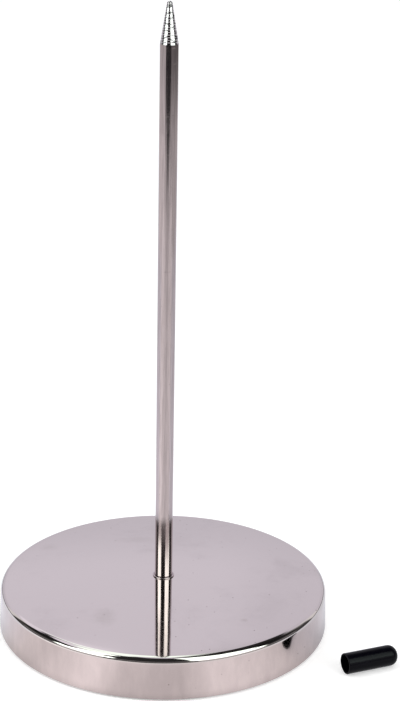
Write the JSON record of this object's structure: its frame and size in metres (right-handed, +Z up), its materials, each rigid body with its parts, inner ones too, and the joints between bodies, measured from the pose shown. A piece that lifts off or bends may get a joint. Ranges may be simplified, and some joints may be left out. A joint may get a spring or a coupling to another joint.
{
  "type": "receipt spike",
  "caption": "Receipt spike: an upright pointed steel rod on a round weighted plated base with a rubber foot below, and a soft point guard lying beside it.",
  "frame": {"origin": "centre of the rubber foot's underside, on the surface that the spike stands on", "axes": "+Z up the rod to its point; -Y towards the picture's viewer; +X to the viewer's right, where the cap lies"},
  "size_m": [0.1011, 0.085, 0.16],
  "materials": {
    "plated_cover": "bright nickel plate on drawn steel sheet",
    "plated_rod": "bright nickel plate on turned steel rod",
    "plated_ring": "bright nickel plate on stamped steel",
    "ballast": "as cast",
    "zinc_hardware": "zinc plated",
    "spring_steel": "blackened spring steel",
    "rubber_disc": "matt solid rubber, non-slip",
    "vinyl_cap": "soft black dipped vinyl"
  },
  "bodies": {
    "base": {"base_cover": "plated_cover", "ballast_disc": "ballast", "spike_rod": "plated_rod", "foot_ring": "plated_ring", "plain_washer": "zinc_hardware", "spring_washer": "spring_steel", "hex_nut": "zinc_hardware", "rubber_foot": "rubber_disc"},
    "cap": {"tip_cap": "vinyl_cap"}
  },
  "joints": [
    {"name": "cap_lift", "type": "slide", "parent": "base", "child": "cap", "axis": [0, 0, 1], "range_m": [0, 0.165]}
  ]
}
